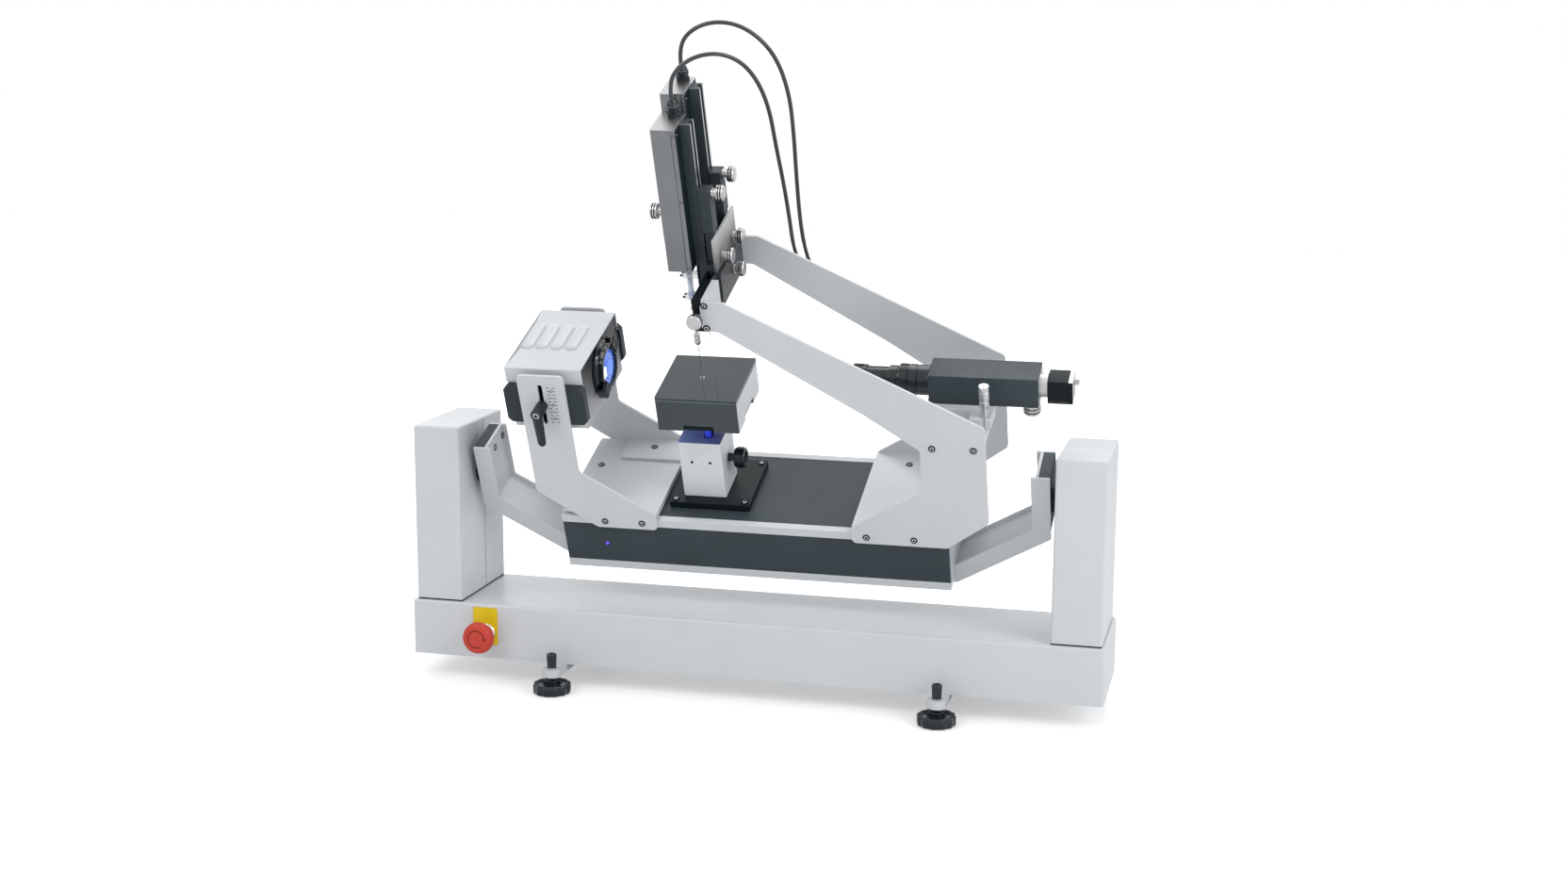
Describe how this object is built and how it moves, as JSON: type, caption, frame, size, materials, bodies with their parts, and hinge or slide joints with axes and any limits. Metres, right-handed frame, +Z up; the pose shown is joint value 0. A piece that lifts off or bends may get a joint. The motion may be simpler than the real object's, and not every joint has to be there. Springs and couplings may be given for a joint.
{
  "type": "surface tensiometer",
  "caption": "Drop-shape surface tensiometer in a tilting cradle on a two-pillar stand, with lamp, lifting sample chamber, syringe drives, zoom lens and camera.",
  "frame": {"origin": "on the floor, under the middle of the stand's beam", "axes": "+X along the beam to the camera's side, +Y to the rear, +Z up"},
  "size_m": [0.85, 0.3531, 0.7989],
  "materials": {
    "light_coat": "light grey powder coat, fine texture",
    "dark_coat": "dark slate powder coat",
    "black_metal": "black anodised, satin",
    "bare_aluminium": "satin anodised",
    "steel": "turned and ground",
    "chrome": "polished",
    "yellow_plate": "semi-gloss",
    "red_plastic": "moulded, semi-gloss",
    "black_plastic": "moulded",
    "dark_gloss": "glossy",
    "lamp_glass": "blue diffuser",
    "syringe_glass": "clear with steel needle",
    "circuit": "printed circuit board",
    "cable": "black flexible sheath"
  },
  "bodies": {
    "stand": {"beam_cover": "light_coat", "beam_bottom_plate": "light_coat", "foot_crossbars": "light_coat", "pillar_covers": "light_coat", "pillar_posts": "bare_aluminium", "pivot_bearings": "steel", "tilt_motor": "black_metal", "stop_button_plate": "yellow_plate", "stop_button_housing": "chrome"},
    "stop_cap": {"stop_button_cap": "red_plastic"},
    "foot_fl": {"foot_front_left": "black_plastic"},
    "foot_fr": {"foot_front_right": "black_plastic"},
    "foot_rl": {"foot_rear_left": "black_plastic"},
    "foot_rr": {"foot_rear_right": "black_plastic"},
    "instrument": {"cradle_frame": "light_coat", "pivot_hubs": "black_metal", "base_frame": "light_coat", "base_panels": "dark_coat", "cable_duct": "light_coat", "deck_plate": "dark_coat", "control_board": "circuit", "lamp_brackets": "light_coat", "side_plates": "light_coat", "optics_crossbar": "light_coat", "stage_plate": "black_metal", "stage_column": "light_coat", "crosshead": "black_metal", "instrument_screws": "steel", "optics_box": "black_metal", "zoom_lens": "black_metal", "camera": "black_metal"},
    "lamp": {"lamp_cover": "light_coat", "lamp_housing": "light_coat", "lamp_heat_sinks": "black_metal", "lamp_lens_ring": "black_metal", "lamp_lens": "lamp_glass"},
    "lever_front": {"lamp_lever_front": "black_plastic"},
    "lever_rear": {"lamp_lever_rear": "black_plastic"},
    "table": {"table_lift": "bare_aluminium", "chamber_body": "dark_gloss"},
    "lid": {"chamber_lid": "dark_gloss"},
    "stage_knob_body": {"stage_knob": "black_metal"},
    "carriage": {"dosing_carriage": "black_metal"},
    "cross_knob_body": {"cross_knob": "steel"},
    "crosshead_knob_body": {"crosshead_knob": "steel"},
    "clamp_knob_f": {"clamp_knob_front": "steel"},
    "clamp_knob_r": {"clamp_knob_rear": "steel"},
    "drive_front": {"dosing_box_front": "dark_coat", "syringe_front": "syringe_glass", "dosing_cable_front": "cable"},
    "drive_rear": {"dosing_box_rear": "dark_coat", "syringe_rear": "syringe_glass", "dosing_cable_rear": "cable"},
    "side_knob_body": {"side_knob_front": "steel"},
    "plunger_f": {"plunger_front": "steel"},
    "plunger_r": {"plunger_rear": "steel"},
    "height_knob_f": {"height_knob_front": "steel"},
    "height_knob_r": {"height_knob_rear": "steel"},
    "micrometer_body": {"micrometer": "steel"},
    "optics_knob_body": {"optics_knob": "steel"}
  },
  "joints": [
    {"name": "stop_press", "type": "slide", "parent": "stand", "child": "stop_cap", "axis": [0, 1, 0], "range_m": [0, 0.005], "stiffness_N_per_m": 1200, "springref_m": -0.002},
    {"name": "foot_turn_fl", "type": "hinge", "parent": "stand", "child": "foot_fl", "pos_m": [-0.236, -0.097, 0.02], "axis": [0, 0, 1], "range_deg": [-180, 180]},
    {"name": "foot_turn_fr", "type": "hinge", "parent": "stand", "child": "foot_fr", "pos_m": [0.236, -0.097, 0.02], "axis": [0, 0, 1], "range_deg": [-180, 180]},
    {"name": "foot_turn_rl", "type": "hinge", "parent": "stand", "child": "foot_rl", "pos_m": [-0.236, 0.097, 0.02], "axis": [0, 0, 1], "range_deg": [-180, 180]},
    {"name": "foot_turn_rr", "type": "hinge", "parent": "stand", "child": "foot_rr", "pos_m": [0.236, 0.097, 0.02], "axis": [0, 0, 1], "range_deg": [-180, 180]},
    {"name": "tilt", "type": "hinge", "parent": "stand", "child": "instrument", "pos_m": [0, 0, 0.2525], "axis": [1, 0, 0], "range_deg": [-22.5, 67.5]},
    {"name": "lamp_height", "type": "slide", "parent": "instrument", "child": "lamp", "axis": [0, -0.3827, 0.9239], "range_m": [-0.02, 0.02]},
    {"name": "lever_front_turn", "type": "hinge", "parent": "lamp", "child": "lever_front", "pos_m": [-0.2386, -0.10709, 0.35426], "axis": [0, 0.9239, 0.3827], "range_deg": [-60, 60]},
    {"name": "lever_rear_turn", "type": "hinge", "parent": "lamp", "child": "lever_rear", "pos_m": [-0.2386, 0.04812, 0.41855], "axis": [0, 0.9239, 0.3827], "range_deg": [-60, 60]},
    {"name": "table_lift", "type": "slide", "parent": "instrument", "child": "table", "axis": [0, -0.3827, 0.9239], "range_m": [-0.015, 0.015]},
    {"name": "stage_knob_turn", "type": "hinge", "parent": "instrument", "child": "stage_knob_body", "pos_m": [-0.04, 0.00582, 0.28208], "axis": [1, 0, 0], "range_deg": [-120, 120]},
    {"name": "lid_lift", "type": "slide", "parent": "table", "child": "lid", "axis": [0, -0.3827, 0.9239], "range_m": [0, 0.02]},
    {"name": "cross_slide", "type": "slide", "parent": "instrument", "child": "carriage", "axis": [0, 0.9239, 0.3827], "range_m": [-0.01, 0.01]},
    {"name": "cross_knob_turn", "type": "hinge", "parent": "instrument", "child": "cross_knob_body", "pos_m": [-0.0345, -0.1557, 0.4716], "axis": [0, 0.9239, 0.3827], "range_deg": [-360, 360]},
    {"name": "crosshead_knob_turn", "type": "hinge", "parent": "instrument", "child": "crosshead_knob_body", "pos_m": [-0.015, -0.04668, 0.51675], "axis": [1, 0, 0], "range_deg": [-180, 180]},
    {"name": "micrometer_turn", "type": "hinge", "parent": "instrument", "child": "micrometer_body", "pos_m": [0.2795, -0.07542, 0.38362], "axis": [0, -0.3827, 0.9239], "range_deg": [-360, 360]},
    {"name": "optics_knob_turn", "type": "hinge", "parent": "instrument", "child": "optics_knob_body", "pos_m": [0.3275, -0.01992, 0.36331], "axis": [0, -0.3827, 0.9239], "range_deg": [-360, 360]},
    {"name": "height_front", "type": "slide", "parent": "carriage", "child": "drive_front", "axis": [0, -0.3827, 0.9239], "range_m": [-0.008, 0.035]},
    {"name": "height_knob_turn_f", "type": "hinge", "parent": "carriage", "child": "height_knob_f", "pos_m": [-0.02, -0.11883, 0.60863], "axis": [1, 0, 0], "range_deg": [-360, 360]},
    {"name": "clamp_knob_turn_f", "type": "hinge", "parent": "carriage", "child": "clamp_knob_f", "pos_m": [-0.018, -0.08879, 0.53611], "axis": [1, 0, 0], "range_deg": [-180, 180]},
    {"name": "plunger_slide_f", "type": "slide", "parent": "drive_front", "child": "plunger_f", "axis": [0, -0.3827, 0.9239], "range_m": [-0.015, 0.015]},
    {"name": "height_rear", "type": "slide", "parent": "carriage", "child": "drive_rear", "axis": [0, -0.3827, 0.9239], "range_m": [-0.008, 0.035]},
    {"name": "height_knob_turn_r", "type": "hinge", "parent": "carriage", "child": "height_knob_r", "pos_m": [-0.02, -0.07356, 0.62739], "axis": [1, 0, 0], "range_deg": [-360, 360]},
    {"name": "clamp_knob_turn_r", "type": "hinge", "parent": "carriage", "child": "clamp_knob_r", "pos_m": [-0.018, -0.04352, 0.55486], "axis": [1, 0, 0], "range_deg": [-180, 180]},
    {"name": "plunger_slide_r", "type": "slide", "parent": "drive_rear", "child": "plunger_r", "axis": [0, -0.3827, 0.9239], "range_m": [-0.015, 0.015]},
    {"name": "side_knob_turn", "type": "hinge", "parent": "drive_front", "child": "side_knob_body", "pos_m": [-0.086, -0.12461, 0.5873], "axis": [1, 0, 0], "range_deg": [-180, 180]}
  ],
  "couplings": [
    {"joint": "stage_knob_turn", "follows": "table_lift", "rad_per_m": 125},
    {"joint": "cross_knob_turn", "follows": "cross_slide", "rad_per_m": 500},
    {"joint": "height_knob_turn_f", "follows": "height_front", "rad_per_m": 160},
    {"joint": "height_knob_turn_r", "follows": "height_rear", "rad_per_m": 160}
  ]
}
